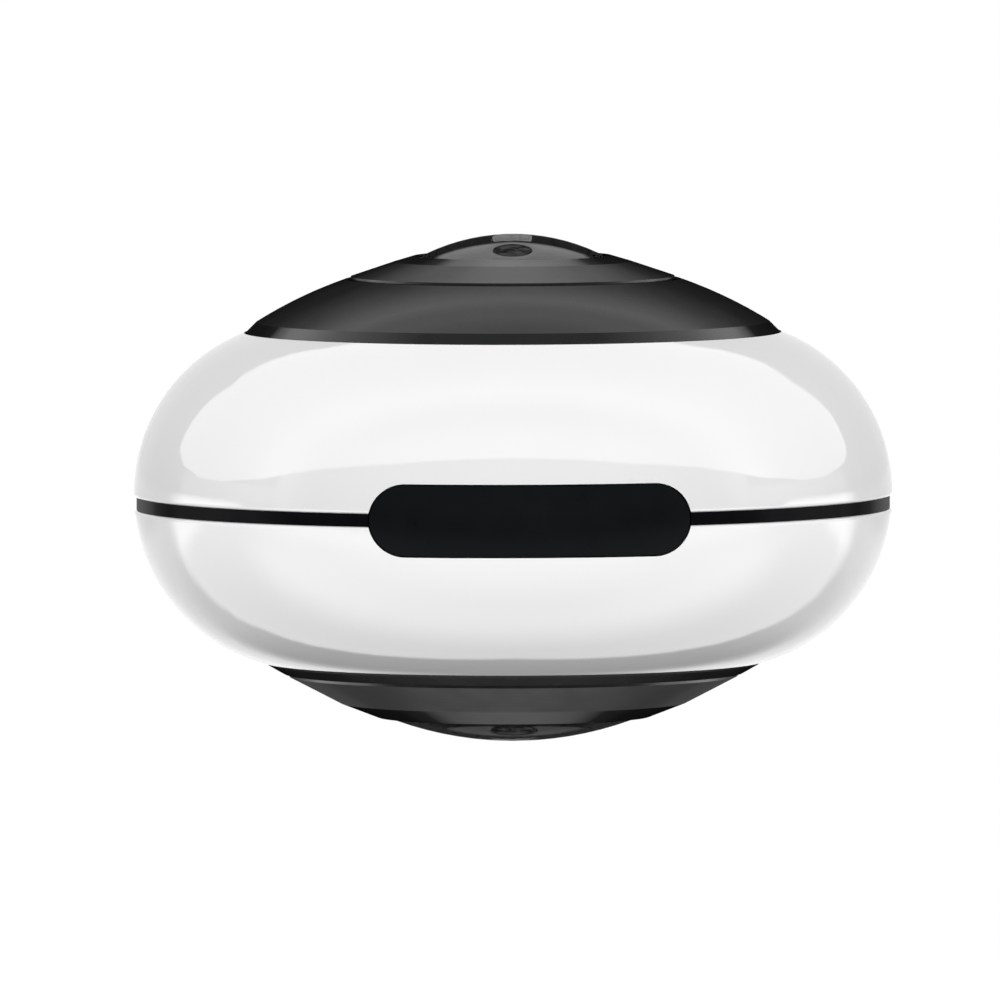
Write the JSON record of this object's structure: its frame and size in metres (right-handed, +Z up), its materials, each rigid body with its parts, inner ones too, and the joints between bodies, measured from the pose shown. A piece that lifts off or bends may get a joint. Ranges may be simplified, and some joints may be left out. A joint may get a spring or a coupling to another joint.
{
  "type": "360 degree camera",
  "caption": "Pocket 360 degree camera: a round lentil body in two white shells with a black waist band, a fisheye lens dome above and below, and a fixed USB-C plug at the back.",
  "frame": {"origin": "middle of the plug's seat, the flat face of the collar that meets the phone", "axes": "+Y out along the plug, so the bare front plate faces -Y; +Z up along the common optical axis, towards the upper lens; +X to the right seen from the front plate's side"},
  "size_m": [0.0426, 0.0497, 0.0285],
  "materials": {
    "white_shell": "polished white",
    "black_band": "polished black",
    "black_plate": "fine satin black",
    "black_collar": "fine satin black",
    "plug_steel": "drawn",
    "plug_plastic": "moulded black",
    "contact_gold": "gold plated",
    "grey_cover": "satin charcoal",
    "adhesive": "foam adhesive",
    "grey_trim": "satin dark grey",
    "black_seal": "matte",
    "front_glass": "coated",
    "inner_glass": "coated",
    "black_stop": "matte black",
    "black_barrel": "black anodised",
    "black_holder": "moulded black",
    "filter_glass": "coated",
    "sensor_face": "polished",
    "board_green": "solder mask",
    "flex_amber": "film",
    "connector_beige": "moulded",
    "chip_black": "moulded",
    "pad_grey": "soft",
    "can_steel": "tinned",
    "screw_steel": "plain"
  },
  "bodies": {
    "root": {"upper_shell": "white_shell", "lower_shell": "white_shell", "middle_frame": "black_band", "front_plate": "black_plate", "plug_collar": "black_collar", "usb_plug_shell": "plug_steel", "usb_plug_insulator": "plug_plastic", "usb_plug_contacts": "contact_gold", "upper_cover": "grey_cover", "lower_cover": "grey_cover", "upper_cover_tape": "adhesive", "lower_cover_tape": "adhesive", "upper_trim_ring": "grey_trim", "lower_trim_ring": "grey_trim", "upper_barrel_seal": "black_seal", "lower_barrel_seal": "black_seal", "upper_front_lens": "front_glass", "lower_front_lens": "front_glass", "upper_second_lens": "inner_glass", "lower_second_lens": "inner_glass", "upper_third_lens": "inner_glass", "lower_third_lens": "inner_glass", "upper_rear_lens": "inner_glass", "lower_rear_lens": "inner_glass", "upper_aperture_stop": "black_stop", "lower_aperture_stop": "black_stop", "upper_lens_barrel": "black_barrel", "lower_lens_barrel": "black_barrel", "upper_lens_holder": "black_holder", "lower_lens_holder": "black_holder", "upper_ir_filter": "filter_glass", "lower_ir_filter": "filter_glass", "upper_image_sensor": "sensor_face", "lower_image_sensor": "sensor_face", "upper_sensor_board": "board_green", "lower_sensor_board": "board_green", "main_board": "board_green", "upper_flex_cable": "flex_amber", "lower_flex_cable": "flex_amber", "upper_flex_connector": "connector_beige", "lower_flex_connector": "connector_beige", "image_processor": "chip_black", "memory_chip": "chip_black", "power_chips": "chip_black", "motion_sensor": "chip_black", "thermal_pad": "pad_grey", "shield_can": "can_steel", "shell_screws": "screw_steel", "holder_screws": "screw_steel", "board_screws": "screw_steel", "sensor_board_screws": "screw_steel"}
  },
  "joints": []
}
